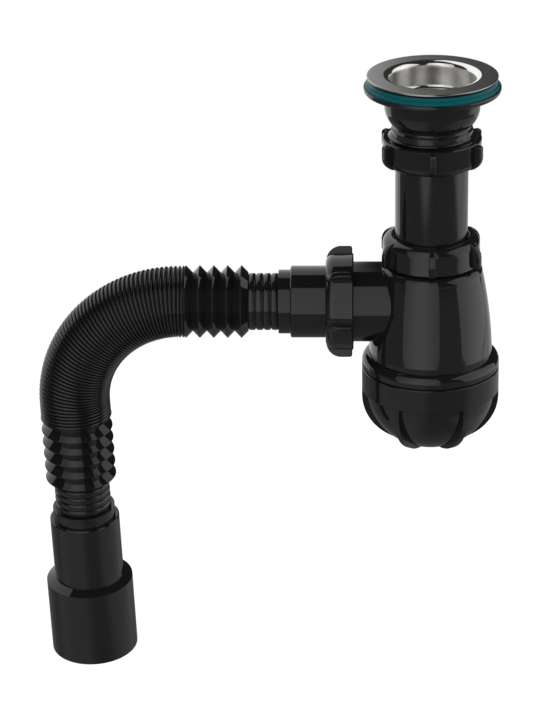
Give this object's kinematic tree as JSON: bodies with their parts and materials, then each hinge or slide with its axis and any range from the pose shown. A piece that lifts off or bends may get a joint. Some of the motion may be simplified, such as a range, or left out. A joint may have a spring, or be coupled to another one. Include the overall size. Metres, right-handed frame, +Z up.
{
  "type": "sink bottle trap",
  "caption": "Bottle trap for a sink, with a steel strainer waste, screwed bottom cup, union nuts with finger lugs and a corrugated outlet hose with a stepped tail.",
  "frame": {"origin": "centre of the gasket's flat seat, on which the underside of the sink lies", "axes": "+Z up along the bottle's axis, -X along the side branch"},
  "size_m": [0.2607, 0.0807, 0.3575],
  "materials": {
    "strainer_steel": "satin flange, polished cup",
    "screw_steel": "turned, slotted head",
    "brass": "plain",
    "teal_rubber": "satin",
    "seal_rubber": "satin",
    "ring_plastic": "plain",
    "black_plastic": "moulded gloss",
    "hose_plastic": "moulded satin gloss"
  },
  "bodies": {
    "outlet": {"outlet_body": "black_plastic", "sink_gasket": "teal_rubber", "brass_insert": "brass"},
    "strainer": {"strainer_cup": "strainer_steel"},
    "clamp_screw": {"clamp_screw": "screw_steel"},
    "inlet_tube": {"inlet_tube": "black_plastic", "upper_seal": "seal_rubber"},
    "upper_nut": {"upper_nut": "black_plastic"},
    "neck_seal": {"neck_seal": "seal_rubber"},
    "bottle": {"bottle_body": "black_plastic"},
    "neck_slip_ring": {"neck_slip_ring": "ring_plastic"},
    "neck_nut": {"neck_nut": "black_plastic"},
    "cup_seal": {"cup_seal": "seal_rubber"},
    "bottom_cup": {"bottom_cup": "black_plastic"},
    "branch_seal": {"branch_seal": "seal_rubber"},
    "hose_spigot": {"hose_spigot": "black_plastic"},
    "branch_slip_ring": {"branch_slip_ring": "ring_plastic"},
    "branch_nut": {"branch_nut": "black_plastic"},
    "hose": {"corrugated_hose": "hose_plastic"},
    "tail_sleeve": {"tail_sleeve": "hose_plastic"}
  },
  "joints": [
    {"name": "strainer_lift", "type": "slide", "parent": "outlet", "child": "strainer", "axis": [0, 0, 1], "range_m": [0, 0.008]},
    {"name": "clamp_screw_turn", "type": "hinge", "parent": "strainer", "child": "clamp_screw", "pos_m": [0, 0, 0], "axis": [0, 0, 1], "range_deg": [0, 2880.5]},
    {"name": "tube_drop", "type": "slide", "parent": "outlet", "child": "inlet_tube", "axis": [0, 0, -1], "range_m": [0, 0.00692]},
    {"name": "upper_nut_turn", "type": "hinge", "parent": "inlet_tube", "child": "upper_nut", "pos_m": [0, 0, 0], "axis": [0, 0, -1], "range_deg": [0, 1080.5]},
    {"name": "bottle_height", "type": "slide", "parent": "inlet_tube", "child": "neck_seal", "axis": [0, 0, -1], "range_m": [-0.007, 0.03]},
    {"name": "bottle_swivel", "type": "hinge", "parent": "neck_seal", "child": "bottle", "pos_m": [0, 0, 0], "axis": [0, 0, 1], "continuous": true},
    {"name": "neck_ring_slide", "type": "slide", "parent": "bottle", "child": "neck_slip_ring", "axis": [0, 0, 1], "range_m": [0, 0.00692]},
    {"name": "neck_nut_turn", "type": "hinge", "parent": "neck_slip_ring", "child": "neck_nut", "pos_m": [0, 0, 0], "axis": [0, 0, 1], "range_deg": [0, 1080.5]},
    {"name": "cup_drop", "type": "slide", "parent": "bottle", "child": "cup_seal", "axis": [0, 0, -1], "range_m": [0, 0.012]},
    {"name": "cup_turn", "type": "hinge", "parent": "cup_seal", "child": "bottom_cup", "pos_m": [0, 0, 0], "axis": [0, 0, -1], "range_deg": [0, 1080.5]},
    {"name": "hose_swivel", "type": "hinge", "parent": "bottle", "child": "branch_seal", "pos_m": [0, 0, -0.1284], "axis": [-1, 0, 0], "continuous": true},
    {"name": "sleeve_depth", "type": "slide", "parent": "branch_seal", "child": "hose_spigot", "axis": [-1, 0, 0], "range_m": [-0.012, 0.008]},
    {"name": "branch_ring_slide", "type": "slide", "parent": "bottle", "child": "branch_slip_ring", "axis": [-1, 0, 0], "range_m": [0, 0.00692]},
    {"name": "branch_nut_turn", "type": "hinge", "parent": "branch_slip_ring", "child": "branch_nut", "pos_m": [0, 0, -0.1284], "axis": [-1, 0, 0], "range_deg": [0, 1080.5]},
    {"name": "hose_bend", "type": "hinge", "parent": "hose_spigot", "child": "hose", "pos_m": [-0.16919, 0.00254, -0.16072], "axis": [0, -0.9969, -0.0785], "range_deg": [-45, 45], "deforming": ["corrugated_hose"]},
    {"name": "hose_stretch", "type": "slide", "parent": "hose", "child": "tail_sleeve", "axis": [0.0279, 0.0784, -0.9965], "range_m": [0, 0.04], "deforming": ["corrugated_hose"]}
  ],
  "couplings": [
    {"joint": "clamp_screw_turn", "follows": "strainer_lift", "rad_per_m": 6285.4},
    {"joint": "upper_nut_turn", "follows": "tube_drop", "rad_per_m": 2721.8},
    {"joint": "neck_nut_turn", "follows": "neck_ring_slide", "rad_per_m": 2721.8},
    {"joint": "cup_turn", "follows": "cup_drop", "rad_per_m": 1570.8},
    {"joint": "branch_nut_turn", "follows": "branch_ring_slide", "rad_per_m": 2721.8}
  ]
}
